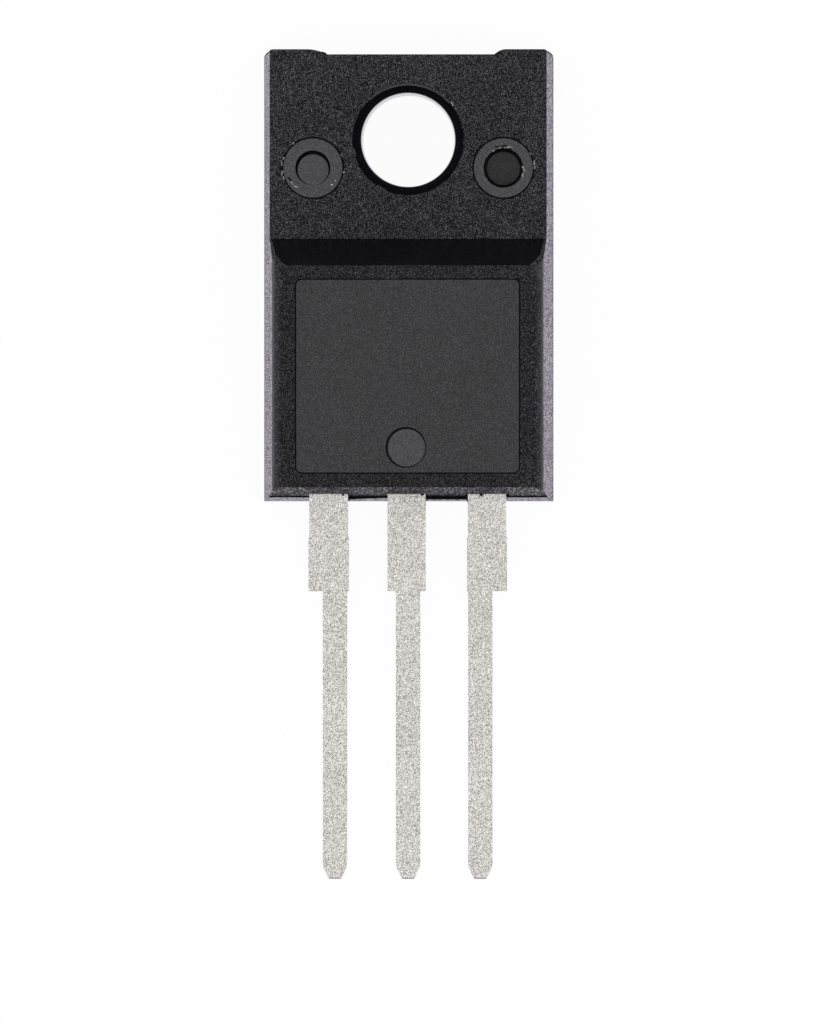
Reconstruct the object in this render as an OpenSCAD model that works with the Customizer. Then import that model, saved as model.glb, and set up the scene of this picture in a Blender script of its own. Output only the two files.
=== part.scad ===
// Power MOSFET in a fully insulated, three-lead full-pack body.
// A stamped copper frame, with the drain in the middle, carries the silicon die.
// Black epoxy is moulded round it, and the gate and source leads come out beside the drain.
//
// Millimetres. The origin is the centre of the mounting hole on the flat rear face.
// +Z comes out of the front face, the leads run along -Y, and +X is to the right seen from the front.

/* [Body] */
// Width of the body at its rear face
body_w = 10.28; // [8.5:0.02:13]
// Length of the body from its top edge to its bottom edge
body_l = 16; // [13.3:0.1:20]
// Thickness of the raised block over the die
body_t = 4.5; // [3.7:0.05:6]
// Thickness of the thin tab round the mounting hole
tab_t = 2.6; // [2.1:0.05:3.2]
// Distance from the hole's centre to the top edge
hole_to_top = 3.2; // [2.6:0.05:4]
// Distance from the hole's centre to the foot of the step
hole_to_step = 3.5; // [2.9:0.05:4.4]
// Lean of the step that climbs from the tab to the block, from upright, in degrees
step_lean = 27.3; // [10:0.1:40]
// Draft of the two side walls, in degrees
side_draft = 5.3; // [1:0.1:7]
// Draft of the bottom wall behind the leads, in degrees
rear_draft = 2.4; // [1:0.1:7]
// Draft of the bottom wall in front of the leads, in degrees
front_draft = 7.6; // [1:0.1:12]
// Ledge in the bottom wall where the two halves of the mould met
parting_ledge = 0.14; // [0.02:0.01:0.2]
// Width of the bevel along each side of the block, seen from the front
bevel_w = 0.39; // [0.1:0.01:0.8]
// Height of that bevel
bevel_h = 0.71; // [0.2:0.01:0.9]
// Radius of the two upper corners at the rear face
corner_r = 0.38; // [0.1:0.01:0.7]
// Radius of the same corners at the tab's front face
corner_front_r = 0.1; // [0.05:0.01:0.6]
// Radius of the block's two upright corners at the step
step_corner_r = 0.2; // [0.05:0.01:0.3]

/* [Top edge] */
// Depth of the shallow notch in the top edge
notch_depth = 0.18; // [0.05:0.01:0.5]
// Distance from the middle to the notch's left end
notch_left = 2.88; // [2:0.01:3.1]
// Distance from the middle to the notch's right end
notch_right = 3.07; // [2:0.01:3.4]
// Radius of the rounding at the notch's left end
left_land_r = 1.45; // [0.3:0.01:1.6]
// Radius of the rounding at the notch's right end
right_land_r = 0.52; // [0.3:0.01:1.6]

/* [Mounting hole] */
// Radius of the straight bore at the rear face
hole_r = 1.6; // [1.3:0.01:1.95]
// Length of the straight bore
bore_l = 0.8; // [0.4:0.05:1.2]
// How much the drafted middle of the hole opens
throat_flare = 0.1; // [0.02:0.01:0.2]
// Depth of the flared mouth below the tab's front face
mouth_l = 0.4; // [0.25:0.05:0.8]
// How much more the hole opens at the front face
mouth_flare = 0.26; // [0.05:0.01:0.4]

/* [Marks of the mould] */
// Radius of the smooth ring that each support pin left on the tab
pin_ring_r = 1.06; // [0.8:0.01:1.1]
// Depth of those rings
pin_ring_depth = 0.06; // [0.02:0.01:0.1]
// Radius of the left pin's pocket, which the epoxy closed again
left_pocket_r = 0.62; // [0.4:0.01:0.7]
// Depth of the left pin's pocket below the tab's front face
left_pocket_depth = 0.3; // [0.15:0.01:0.35]
// Radius of the right pin's pocket, which is open down to the frame
right_pocket_r = 0.7; // [0.4:0.01:0.75]
// Distance of both support pins below the hole's centre
pin_drop = 1; // [0.6:0.05:1.4]
// Margin of the block's front face round the smooth marking panel, at the sides
panel_side_margin = 0.43; // [0.2:0.01:1]
// Margin above the marking panel
panel_top_margin = 0.46; // [0.2:0.01:1]
// Margin below the marking panel
panel_bottom_margin = 0.46; // [0.2:0.01:1]
// Depth of the marking panel
panel_depth = 0.04; // [0.01:0.01:0.1]
// Radius of the marking panel's corners
panel_corner_r = 0.18; // [0.05:0.01:0.5]
// Radius of the ejector pin's mark in the panel
ejector_r = 0.72; // [0.4:0.01:0.8]
// Depth of the ejector mark below the panel
ejector_depth = 0.06; // [0.02:0.01:0.12]
// Distance from the ejector mark's centre to the panel's lower edge
ejector_rise = 0.93; // [0.85:0.01:1.4]

/* [Leads] */
// Distance between neighbouring leads
lead_pitch = 2.54; // [2.4:0.01:3.1]
// Thickness of the leads
lead_t = 0.5; // [0.4:0.01:0.6]
// Height of the leads' rear side above the body's rear face
lead_z = 2.4; // [2.25:0.01:2.6]
// Width of a lead's slim part
lead_w = 0.86; // [0.7:0.01:1.04]
// Width of a lead's broad part, next to the body
shank_w = 1.34; // [1.1:0.01:1.5]
// Length of the leads, from the body's bottom edge to their tips
lead_l = 13.35; // [11:0.05:16.1]
// Length of the broad part, from the body's bottom edge
shank_l = 3.17; // [2.5:0.01:3.9]
// Length of the cut left by the trimmed dam bar, at the end of the broad part
dam_l = 1.91; // [1.2:0.01:2.3]
// How far the trimmed dam bar still stands out on each side
dam_burr = 0.03; // [0.01:0.01:0.08]
// Length of the tapered tip
tip_l = 0.53; // [0.3:0.01:0.9]
// Width of the tip's end
tip_w = 0.4; // [0.2:0.01:0.5]
// Size of the small rounding on the leads' outer corners
lead_corner_r = 0.06; // [0.02:0.01:0.1]

/* [Frame inside the body] */
// Thickness of the copper pad that the die sits on
pad_t = 1.3; // [1:0.05:1.35]
// Epoxy between the pad and the rear face, which insulates it
rear_cover = 0.45; // [0.35:0.01:0.6]
// Epoxy between the pad and the side walls, at the rear face
side_cover = 0.95; // [0.8:0.01:1.2]
// Epoxy between the pad and the mounting hole
hole_cover = 0.95; // [0.7:0.01:1.1]
// How far the pad's two ears reach past the hole's centre
ear_reach = 0.2; // [0:0.05:0.9]
// Distance from the body's bottom edge to the pad
pad_to_bottom = 3; // [2.7:0.05:3.4]
// Width of the bond posts on the gate and source leads
post_w = 2.1; // [1.7:0.05:2.2]
// Length of the bond posts
post_l = 1.3; // [1:0.05:1.4]
// Distance from the body's bottom edge to the bond posts
post_to_bottom = 0.75; // [0.6:0.05:0.9]
// Inner radius of the two bends that lift the middle lead off the pad
bend_r = 0.3; // [0.15:0.01:0.35]
// Slope of the middle lead between its bends, in degrees
bend_angle = 45; // [35:1:60]

/* [Die and bond wires] */
// Width of the silicon die
die_w = 3.6; // [2.4:0.05:4.4]
// Length of the silicon die
die_l = 4.2; // [2.8:0.05:5.1]
// Thickness of the silicon die
die_t = 0.25; // [0.15:0.01:0.35]
// Distance from the die's lower edge to the pad's lower edge
die_to_edge = 0.9; // [0.5:0.05:1.2]
// Thickness of the solder under the die
solder_t = 0.05; // [0.02:0.01:0.08]
// Width of the solder's rim round the die
solder_rim = 0.12; // [0.04:0.01:0.2]
// Diameter of the thin gate wire
gate_wire_d = 0.13; // [0.08:0.01:0.2]
// Diameter of each heavy source wire
source_wire_d = 0.38; // [0.2:0.01:0.42]
// Distance between the two source wires on their post
source_wire_gap = 0.75; // [0.65:0.01:0.95]
// Share of the room in front of the leads that the wires' loops rise into
loop_share = 0.5; // [0.2:0.05:0.6]

/* [Hidden] */

$fn = 96;
PAST = 1;           // how far a cutting shape runs past the surface that it opens
TIP_STEPS = 4;      // straight facets along each curved side of a tip
TIP_CURVE = 1.4;    // 1 gives a straight taper, and more gives a fuller one
BEND_STEPS = 6;     // straight facets round each bend of the middle lead
CORNER_STEPS = 3;   // straight facets round each small corner of a lead

// Body
half_w = body_w / 2;
bottom_y = hole_to_top - body_l;
step_foot_y = -hole_to_step;
step_head_y = step_foot_y - (body_t - tab_t) * tan(step_lean);
rear_wall_y = bottom_y + lead_z * tan(rear_draft);
front_wall_y = rear_wall_y + parting_ledge;
face_bottom_y = front_wall_y + (body_t - lead_z) * tan(front_draft);
face_half_w = half_w - (body_t - bevel_h) * tan(side_draft) - bevel_w;

// Frame
lead_top_z = lead_z + lead_t;
pad_top_z = rear_cover + pad_t;
pad_half_w = half_w - side_cover;
pad_bottom_y = bottom_y + pad_to_bottom;
ear_inner_x = hole_r + hole_cover;
pin_x = (ear_inner_x + pad_half_w) / 2;
shank_end_y = bottom_y - shank_l;
tip_y = bottom_y - lead_l;
post_bottom_y = bottom_y + post_to_bottom;
post_x = lead_pitch + (shank_w - lead_w) / 2;   // a bond post is centred on the broad part of its lead
post_y = post_bottom_y + post_l / 2;

// Centres of the middle lead's two bends, as [y, z]: the first is above the strip and the last below it
lift_drop = (2 * bend_r + lead_t) * cos(bend_angle);
lift_slope_l = (lead_z - pad_top_z - 2 * bend_r + lift_drop) / sin(bend_angle);
lift_run = (2 * bend_r + lead_t) * sin(bend_angle) + lift_slope_l * cos(bend_angle);
lift_first = [pad_bottom_y, pad_top_z + bend_r];
lift_last = [pad_bottom_y - lift_run, lead_z - bend_r];

// Marking panel
panel_half_w = face_half_w - panel_side_margin;
panel_top_y = step_head_y - panel_top_margin;
panel_bottom_y = face_bottom_y + panel_bottom_margin;
panel_z = body_t - panel_depth;

// Die
die_top_z = pad_top_z + solder_t + die_t;
die_bottom_y = pad_bottom_y + die_to_edge;
die_middle_y = die_bottom_y + die_l / 2;
loop_rise = (body_t - lead_top_z) * loop_share;

// Points on an arc about the point c, from angle a to angle b, in equal steps
function arc(c, r, a, b, steps) = [
    for (i = [0:steps]) let (t = a + (b - a) * i / steps) c + r * [cos(t), sin(t)]
];

// Rectangle from its lower left to its upper right corner
module box_2d(low, high) {
    translate(low) square(high - low);
}

// Rectangle with its four corners rounded
module round_box_2d(low, high, r) {
    box_2d(low + [r, 0], high - [r, 0]);
    box_2d(low + [0, r], high - [0, r]);
    for (x = [low.x + r, high.x - r], y = [low.y + r, high.y - r])
        translate([x, y]) circle(r);
}

// Extrudes an outline drawn in (x, z) along the whole length of the body
module along_y() {
    translate([0, hole_to_top + PAST, 0])
        rotate([90, 0, 0])
            linear_extrude(body_l + 2 * PAST) children();
}

// Extrudes an outline drawn in (y, z) across the width w
module along_x(w) {
    rotate([90, 0, 90])
        linear_extrude(w, center = true) children();
}

// ---------------------------------------------------------------- body

// Seen along the leads: drafted side walls with a bevel at each side of the block
module body_section() {
    bevel_foot_z = body_t - bevel_h;
    bevel_foot_x = half_w - bevel_foot_z * tan(side_draft);
    right = [[half_w, 0], [bevel_foot_x, bevel_foot_z], [face_half_w, body_t]];
    left = [for (i = [2:-1:0]) [-right[i].x, right[i].y]];
    polygon(concat(right, left));
}

// Seen from the side: the tab, the step, the block and the two drafts of the bottom wall
module body_profile() {
    polygon([
        [bottom_y, 0], [hole_to_top, 0], [hole_to_top, tab_t], [step_foot_y, tab_t],
        [step_head_y, body_t], [face_bottom_y, body_t], [front_wall_y, lead_z], [rear_wall_y, lead_z]
    ]);
}

// Half of the outline, on the side where x is positive: the wall and the land beside the notch
module half_outline(notch_end, land_r) {
    // The land's rounding meets the notch's floor at notch_end, and is level with the top edge at land_x
    land_x = notch_end + sqrt(pow(land_r, 2) - pow(land_r - notch_depth, 2));
    box_2d([land_x, bottom_y], [half_w, hole_to_top]);
    box_2d([0, bottom_y], [land_x, hole_to_top - land_r]);
    intersection() {
        box_2d([0, bottom_y], [land_x, hole_to_top]);
        union() {
            box_2d([0, bottom_y], [notch_end, hole_to_top - notch_depth]);
            translate([land_x, hole_to_top - land_r]) circle(land_r);
        }
    }
}

// Seen from the front: straight sides and the notch in the top edge
module body_outline() {
    half_outline(notch_right, right_land_r);
    mirror([1, 0]) half_outline(notch_left, left_land_r);
}

// Rounds the tab's upper corner where the top edge meets the right side wall, less and less to the front
// The cut leans with the wall, so that it stays flush with both
module upper_corner() {
    narrowing = (corner_r - corner_front_r) / tab_t;
    lean = [
        [1, 0, narrowing - tan(side_draft), half_w - corner_r],
        [0, 1, narrowing, hole_to_top - corner_r],
        [0, 0, 1, 0],
        [0, 0, 0, 1]
    ];
    multmatrix(lean)
        difference() {
            cube([corner_r + PAST, corner_r + PAST, tab_t]);
            cylinder(r1 = corner_r, r2 = corner_front_r, h = tab_t);
        }
}

// Rounds the upright corner of the block where the step meets the right side wall
// The cut leans with both, so that its radius stays the same all the way up
module step_corner() {
    lean = [
        [1, 0, -tan(side_draft), half_w - tab_t * tan(side_draft) - step_corner_r],
        [0, 1, -tan(step_lean), step_foot_y - step_corner_r],
        [0, 0, 1, tab_t],
        [0, 0, 0, 1]
    ];
    multmatrix(lean)
        linear_extrude(body_t - tab_t + PAST)
            difference() {
                square(step_corner_r + PAST);
                circle(step_corner_r);
            }
}

// The hole: straight at the rear, slightly drafted in the middle and flared at the front
module mounting_hole() {
    throat_r = hole_r + throat_flare;
    mouth_r = throat_r + mouth_flare;
    rotate_extrude()
        polygon([
            [0, -PAST], [hole_r, -PAST], [hole_r, bore_l], [throat_r, tab_t - mouth_l], [mouth_r, tab_t],
            [mouth_r + mouth_flare * PAST / mouth_l, tab_t + PAST], [0, tab_t + PAST]
        ]);
}

// Ring and pocket that one support pin of the mould left, down to the height floor_z
module pin_mark(x, pocket_r, floor_z) {
    translate([x, -pin_drop, tab_t - pin_ring_depth]) cylinder(r = pin_ring_r, h = pin_ring_depth + PAST);
    translate([x, -pin_drop, floor_z]) cylinder(r = pocket_r, h = tab_t - floor_z + PAST);
}

// Smooth panel for the marking, with the ejector pin's mark in it
module marking_panel() {
    translate([0, 0, panel_z])
        linear_extrude(panel_depth + PAST)
            round_box_2d([-panel_half_w, panel_bottom_y], [panel_half_w, panel_top_y], panel_corner_r);
    translate([0, panel_bottom_y + ejector_rise, panel_z - ejector_depth])
        cylinder(r = ejector_r, h = ejector_depth + PAST);
}

// Everything that the epoxy is moulded round
module moulded_in() {
    drain_leadframe();
    gate_lead();
    source_lead();
    die_solder();
    silicon_die();
    gate_bond_wire();
    source_bond_wire_a();
    source_bond_wire_b();
}

// Black epoxy body, moulded in one shot round the frame, the die and the wires
module package_body() {
    color([0.17, 0.17, 0.18])
        difference() {
            intersection() {
                along_y() body_section();
                along_x(body_w + 2 * PAST) body_profile();
                linear_extrude(body_t) body_outline();
            }
            mounting_hole();
            pin_mark(-pin_x, left_pocket_r, tab_t - left_pocket_depth);
            pin_mark(pin_x, right_pocket_r, pad_top_z);
            marking_panel();
            for (side = [0, 1]) mirror([side, 0, 0]) {
                upper_corner();
                step_corner();
            }
            moulded_in();
        }
}

// ---------------------------------------------------------------- frame and leads

// Half of a lead's outline, from the y where it starts down to its tip, as distances from its centre line
// The broad part reaches out to edge, and the trimmed dam bar a little further
function lead_side(edge, start_y) =
    let (
        dam_x = edge + dam_burr,
        corner = min(lead_corner_r, dam_x - lead_w / 2),
        dam_top_y = shank_end_y + dam_l
    )
    concat(
        [[edge, start_y], [edge, dam_top_y]],
        arc([dam_x - corner, dam_top_y - corner], corner, 90, 0, CORNER_STEPS),
        arc([dam_x - corner, shank_end_y + corner], corner, 0, -90, CORNER_STEPS),
        [[lead_w / 2, shank_end_y]],
        [for (i = [0:TIP_STEPS]) let (t = i / TIP_STEPS)
            [(lead_w - (lead_w - tip_w) * pow(t, TIP_CURVE)) / 2, tip_y + tip_l * (1 - t)]]
    );

// A half of an outline, moved to the centre line x, and its other half in reverse order
function to_right(points, x) = [for (p = points) [x + p.x, p.y]];
function to_left(points, x) = [for (i = [len(points) - 1:-1:0]) [x - points[i].x, points[i].y]];

// Outline of the middle lead, outside the body and up to its bends
module middle_lead_2d() {
    side = lead_side(shank_w / 2, lift_last.x);
    polygon(concat(to_right(side, 0), to_left(side, 0)));
}

// Outline of a side lead, with its bond post inside the body, on the side where x is positive
// The broad part is flush with the slim one on its inner side
module side_lead_2d() {
    inner = lead_side(lead_w / 2, post_bottom_y);
    outer = lead_side(shank_w - lead_w / 2, post_bottom_y);
    polygon(concat(
        [for (y = [post_bottom_y + post_l, post_bottom_y]) [post_x + post_w / 2, y]],
        to_right(outer, lead_pitch),
        to_left(inner, lead_pitch),
        [for (y = [post_bottom_y, post_bottom_y + post_l]) [post_x - post_w / 2, y]]
    ));
}

// Lifts a flat outline to the height and thickness of the leads
module at_lead_height() {
    translate([0, 0, lead_z]) linear_extrude(lead_t) children();
}

// Left lead, tinned copper: the gate
module gate_lead() {
    color([0.78, 0.78, 0.76]) at_lead_height() mirror([1, 0]) side_lead_2d();
}

// Right lead, tinned copper: the source
module source_lead() {
    color([0.78, 0.78, 0.76]) at_lead_height() side_lead_2d();
}

// Side view of the middle lead's climb, from the pad's top face to the height of the leads
// The strip leaves the pad at pad_bottom_y, bends up about lift_first and level again about lift_last
module lift_profile() {
    outer_r = bend_r + lead_t;
    polygon(concat(
        [[pad_bottom_y + lead_t, pad_top_z]],
        arc(lift_first, bend_r, 270, 270 - bend_angle, BEND_STEPS),
        arc(lift_last, outer_r, 90 - bend_angle, 90, BEND_STEPS),
        [[lift_last.x - lead_t, lead_top_z], [lift_last.x - lead_t, lead_z]],
        arc(lift_last, bend_r, 90, 90 - bend_angle, BEND_STEPS),
        arc(lift_first, outer_r, 270 - bend_angle, 270, BEND_STEPS),
        [[pad_bottom_y + lead_t, pad_top_z - lead_t]]
    ));
}

// Thick pad under the die, with an ear at each side of the hole for the mould's support pins
module pad_2d() {
    difference() {
        box_2d([-pad_half_w, pad_bottom_y], [pad_half_w, ear_reach]);
        circle(ear_inner_x);
    }
}

// Copper frame in one piece: the pad under the die, the climb and the middle lead, which is the drain
module drain_leadframe() {
    color([0.78, 0.78, 0.76]) {
        translate([0, 0, rear_cover]) linear_extrude(pad_t) pad_2d();
        along_x(shank_w) lift_profile();
        at_lead_height() middle_lead_2d();
    }
}

// ---------------------------------------------------------------- die and bond wires

// Block centred on the die, rim wider than it on every side, from height z up
module on_pad(rim, z, h) {
    translate([0, die_middle_y, z])
        linear_extrude(h)
            square([die_w + 2 * rim, die_l + 2 * rim], center = true);
}

// Solder that holds the die on the pad
module die_solder() {
    color([0.62, 0.63, 0.65]) on_pad(solder_rim, pad_top_z, solder_t);
}

// Silicon die
module silicon_die() {
    color([0.24, 0.25, 0.3]) on_pad(0, pad_top_z + solder_t, die_t);
}

// Flattened bond at the end of a wire of diameter d, lying on the surface below it
module bond_foot(d) {
    l = 2.2 * d;
    w = 1.3 * d;
    linear_extrude(d / 2) {
        square([l - w, w], center = true);
        for (end = [-1, 1]) translate([end * (l - w) / 2, 0]) circle(d = w);
    }
}

// Aluminium wire in one loop of arc, with a flattened bond at each end, from the die to a post
module bond_wire(from, to, d) {
    way = to - from;
    reach = norm(way);
    heading = atan2(way.y, way.x);
    loop_r = (pow(reach / 2, 2) + pow(loop_rise, 2)) / (2 * loop_rise);
    half_turn = asin(reach / 2 / loop_r);
    color([0.85, 0.86, 0.88]) {
        for (end = [from, to]) translate(end) rotate([0, 0, heading]) bond_foot(d);
        translate(from + [0, 0, d / 2])
            rotate([0, -asin(way.z / reach), heading])
                translate([reach / 2, 0, loop_rise - loop_r])
                    rotate([90, 0, 0])
                        rotate([0, 0, 90 - half_turn])
                            rotate_extrude(angle = 2 * half_turn) translate([loop_r, 0]) circle(d = d);
    }
}

// Thin wire from the gate pad, in the die's lower left corner, to the gate post
module gate_bond_wire() {
    pad_inset = 2.5 * gate_wire_d;
    bond_wire(
        [-die_w / 2 + pad_inset, die_bottom_y + pad_inset, die_top_z], [-post_x, post_y, lead_top_z],
        gate_wire_d
    );
}

// One of the two parallel heavy wires from the source metal to the source post
// side is -1 for the wire nearer the middle lead and 1 for the other one
module source_bond_wire(side) {
    shift = side * source_wire_gap / 2;
    bond_wire([die_w / 5 + shift, die_middle_y, die_top_z], [post_x + shift, post_y, lead_top_z], source_wire_d);
}

module source_bond_wire_a() {
    source_bond_wire(-1);
}

module source_bond_wire_b() {
    source_bond_wire(1);
}

package_body();
drain_leadframe();
gate_lead();
source_lead();
silicon_die();
die_solder();
gate_bond_wire();
source_bond_wire_a();
source_bond_wire_b();
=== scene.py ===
"""Looks of a power MOSFET in a fully insulated full-pack body with three tinned leads.

A class for each sub-assembly models it in millimetres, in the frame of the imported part: the origin is
the centre of the mounting hole on the rear face, +Z comes out of the front face and the leads run
along -Y. set_down() then puts the piece down in metres. A class for each finish writes its material.
"""
import logging
import math
import random
from collections.abc import Callable, Iterator, Sequence
from contextlib import contextmanager
from dataclasses import dataclass, field
from enum import Enum
from typing import Any, NamedTuple

import bpy
from mathutils import Matrix, Vector


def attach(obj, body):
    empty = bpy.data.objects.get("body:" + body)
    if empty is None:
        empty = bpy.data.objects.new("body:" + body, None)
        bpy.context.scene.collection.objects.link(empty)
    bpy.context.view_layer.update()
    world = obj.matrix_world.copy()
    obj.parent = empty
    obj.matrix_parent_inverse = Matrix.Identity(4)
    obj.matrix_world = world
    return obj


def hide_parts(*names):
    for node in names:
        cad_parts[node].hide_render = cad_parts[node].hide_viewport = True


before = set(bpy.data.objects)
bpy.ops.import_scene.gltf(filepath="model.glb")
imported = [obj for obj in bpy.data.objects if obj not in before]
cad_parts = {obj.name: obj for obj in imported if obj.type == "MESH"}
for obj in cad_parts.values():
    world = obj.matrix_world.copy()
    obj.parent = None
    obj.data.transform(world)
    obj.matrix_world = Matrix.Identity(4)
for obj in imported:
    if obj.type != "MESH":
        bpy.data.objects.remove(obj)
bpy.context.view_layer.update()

log = logging.getLogger("mosfet")

MM = 0.001  # metres in a millimetre
NEAR = 1e-4  # two places nearer than this, in millimetres, are the same place
AFAR = 6.0  # millimetres, further than the body reaches to the sides and to the front
FLAT = math.radians(0.5)  # faces that turn by less than this are one face
CLEAR = 1.0  # millimetres by which a tool reaches past what it cuts
ALONG = 0.9  # a direction points along an axis if its share along that axis is larger than this
SHARP = math.radians(20)  # edges that turn by less than this are never rounded
SMOOTH = math.radians(32)  # edges that turn by less than this are shaded smooth
CORE_SINK = 0.001  # millimetres by which each solid inside cuts deeper than the one before it

Piece = bpy.types.Object
Material = bpy.types.Material
NodeTree = bpy.types.NodeTree
Socket = bpy.types.NodeSocket
Point = tuple[float, float, float]
Plane = tuple[Point, Point]
Span = tuple[float, float]


class Part(Enum):
    """The kind of mesh part that an edit acts on, in the order of Blender's three select modes."""

    VERT = 0
    EDGE = 1
    FACE = 2


class Fit(Enum):
    """What one shape does to another."""

    CUT = "DIFFERENCE"
    JOIN = "UNION"


class Slot(Enum):
    """The record's material slots, one for each kind of new piece."""

    EPOXY = "moulded_epoxy"
    TIN = "tinned_copper"


class Spot(NamedTuple):
    """A face, edge or vertex of a mesh, in millimetres."""

    at: Vector
    way: Vector


Test = Callable[[Spot], bool]


# ------------------------------------------------------------------ modelling, in millimetres


def tan(degrees: float) -> float:
    """Tangent of an angle in degrees."""
    return math.tan(math.radians(degrees))


def take_up(piece: Piece) -> None:
    """Makes a piece the one that is selected and active."""
    bpy.ops.object.select_all(action="DESELECT")
    piece.select_set(True)
    bpy.context.view_layer.objects.active = piece


def spots(mesh: bpy.types.Mesh, part: Part) -> list[Spot]:
    """Lists the parts of a mesh of one kind.

    Args:
        mesh: the mesh.
        part: the kind of part.

    Returns:
        For each vertex its place and normal, for each edge its middle and direction, and for each
        face its middle and normal.
    """
    if part is Part.VERT:
        return [Spot(v.co.copy(), v.normal.copy()) for v in mesh.vertices]
    if part is Part.FACE:
        return [Spot(f.center.copy(), f.normal.copy()) for f in mesh.polygons]
    ends = [(mesh.vertices[e.vertices[0]].co, mesh.vertices[e.vertices[1]].co) for e in mesh.edges]
    return [Spot((a + b) / 2, (b - a).normalized()) for a, b in ends]


@contextmanager
def editing(piece: Piece, wanted: Test | None = None, part: Part = Part.FACE) -> Iterator[None]:
    """Opens a piece in edit mode with some of its parts selected, and closes it again.

    Args:
        piece: the mesh object.
        wanted: says of a spot whether it is selected, or None to select all of them.
        part: the kind of part that is selected.
    """
    take_up(piece)
    bpy.context.tool_settings.mesh_select_mode = tuple(part.value == i for i in range(3))
    mesh = piece.data
    kinds = (mesh.vertices, mesh.edges, mesh.polygons)
    for parts in kinds:
        parts.foreach_set("select", [False] * len(parts))
    flags = [wanted is None or wanted(spot) for spot in spots(mesh, part)]
    kinds[part.value].foreach_set("select", flags)
    bpy.ops.object.mode_set(mode="EDIT")
    yield
    bpy.ops.object.mode_set(mode="OBJECT")


def draw_out(x: float, y: float, z: float) -> None:
    """Extrudes the selected faces by one step."""
    bpy.ops.mesh.extrude_region_move(TRANSFORM_OT_translate={"value": (x, y, z)})


def settle() -> None:
    """Takes up the active piece's place, turn and scale into its mesh."""
    bpy.ops.object.transform_apply(location=True, rotation=True, scale=True)


def modify(piece: Piece, kind: str, **settings: Any) -> None:
    """Adds a modifier to a piece and applies it.

    Args:
        piece: the mesh object.
        kind: Blender's name for the kind of modifier.
        settings: the modifier's own settings.
    """
    take_up(piece)
    modifier = piece.modifiers.new(kind.lower(), kind)
    for name, value in settings.items():
        setattr(modifier, name, value)
    bpy.ops.object.modifier_apply(modifier=modifier.name)


def fit(piece: Piece, tool: Piece, how: Fit) -> Piece:
    """Cuts a piece with a tool or joins them, and uses the tool up.

    Args:
        piece: the mesh object that is kept. Faces that the tool leaves keep the tool's finish.
        tool: the mesh object that acts on it.
        how: what the tool does to the piece.

    Returns:
        The piece.
    """
    modify(piece, "BOOLEAN", object=tool, operation=how.value, solver="EXACT", material_mode="TRANSFER")
    mesh = tool.data
    bpy.data.objects.remove(tool)
    bpy.data.meshes.remove(mesh)
    return piece


def hewn_block(finish: Material, low: Point, high: Point, planes: Sequence[Plane] = ()) -> Piece:
    """Makes a block and cuts away what lies outside each plane.

    Args:
        finish: the block's material.
        low: its lowest corner.
        high: its highest corner.
        planes: for each cut a point on it and its outward direction.

    Returns:
        The block.
    """
    middle = [(a + b) / 2 for a, b in zip(low, high)]
    bpy.ops.mesh.primitive_cube_add(size=1, location=middle, scale=[b - a for a, b in zip(low, high)])
    settle()
    block = bpy.context.object
    block.data.materials.append(finish)
    for point, outward in planes:
        with editing(block):
            bpy.ops.mesh.bisect(
                plane_co=point, plane_no=outward, use_fill=True, clear_outer=True, threshold=NEAR
            )
    return block


def turned_plug(finish: Material, middle: Span, rings: Sequence[Span], sides: int = 96) -> Piece:
    """Makes a round plug by extruding a disc ring by ring.

    Args:
        finish: the plug's material.
        middle: the plug's axis in x and y.
        rings: the height and radius of each ring, from the lowest up.
        sides: how many sides the plug has.

    Returns:
        The plug.
    """
    (z, r), *rest = rings
    bpy.ops.mesh.primitive_circle_add(vertices=sides, radius=r, fill_type="NGON", location=(*middle, z))
    settle()
    plug = bpy.context.object
    plug.data.materials.append(finish)
    with editing(plug):
        for next_z, next_r in rest:
            draw_out(0, 0, next_z - z)
            grow = next_r / r
            bpy.ops.transform.resize(value=(grow, grow, 1), center_override=(*middle, next_z))
            z, r = next_z, next_r
        bpy.ops.mesh.select_all(action="SELECT")
        bpy.ops.mesh.normals_make_consistent(inside=False)
    return plug


def roughen(piece: Piece, amount: float, seed: int, wanted: Test) -> None:
    """Moves chosen vertices a little way at random, as where brittle epoxy broke.

    Args:
        piece: the mesh object.
        amount: the furthest that a vertex moves.
        seed: starts the random numbers.
        wanted: says of a vertex whether it moves.
    """
    with editing(piece, wanted, Part.VERT):
        bpy.ops.transform.vertex_random(offset=amount, uniform=1.0, normal=0.0, seed=seed)


def ease(piece: Piece, width: float, segments: int, wanted: Test) -> None:
    """Rounds the sharp edges of a piece at chosen places.

    Args:
        piece: the mesh object.
        width: how far the rounding reaches from each edge.
        segments: how many facets it has.
        wanted: says of an edge whether it is rounded.
    """
    with editing(piece, lambda spot: False, Part.EDGE):
        bpy.ops.mesh.edges_select_sharp(sharpness=SHARP)
    sharp = iter([edge.select for edge in piece.data.edges])
    with editing(piece, lambda spot: next(sharp) and wanted(spot), Part.EDGE):
        bpy.ops.mesh.bevel(offset=width, segments=segments, affect="EDGES", clamp_overlap=True)


def split(piece: Piece, point: Point, across: Point) -> None:
    """Adds the edges where a plane meets a piece, and cuts nothing away.

    Args:
        piece: the mesh object.
        point: a point on the plane.
        across: the plane's normal.
    """
    with editing(piece):
        bpy.ops.mesh.bisect(plane_co=point, plane_no=across, threshold=NEAR)


def coat(piece: Piece, finish: Material, wanted: Test) -> None:
    """Gives chosen faces of a piece a finish.

    Args:
        piece: the mesh object.
        finish: the material.
        wanted: says of a face whether it takes the finish.
    """
    if finish.name not in piece.data.materials:
        piece.data.materials.append(finish)
    with editing(piece, wanted):
        piece.active_material_index = piece.data.materials.find(finish.name)
        bpy.ops.object.material_slot_assign()


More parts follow.
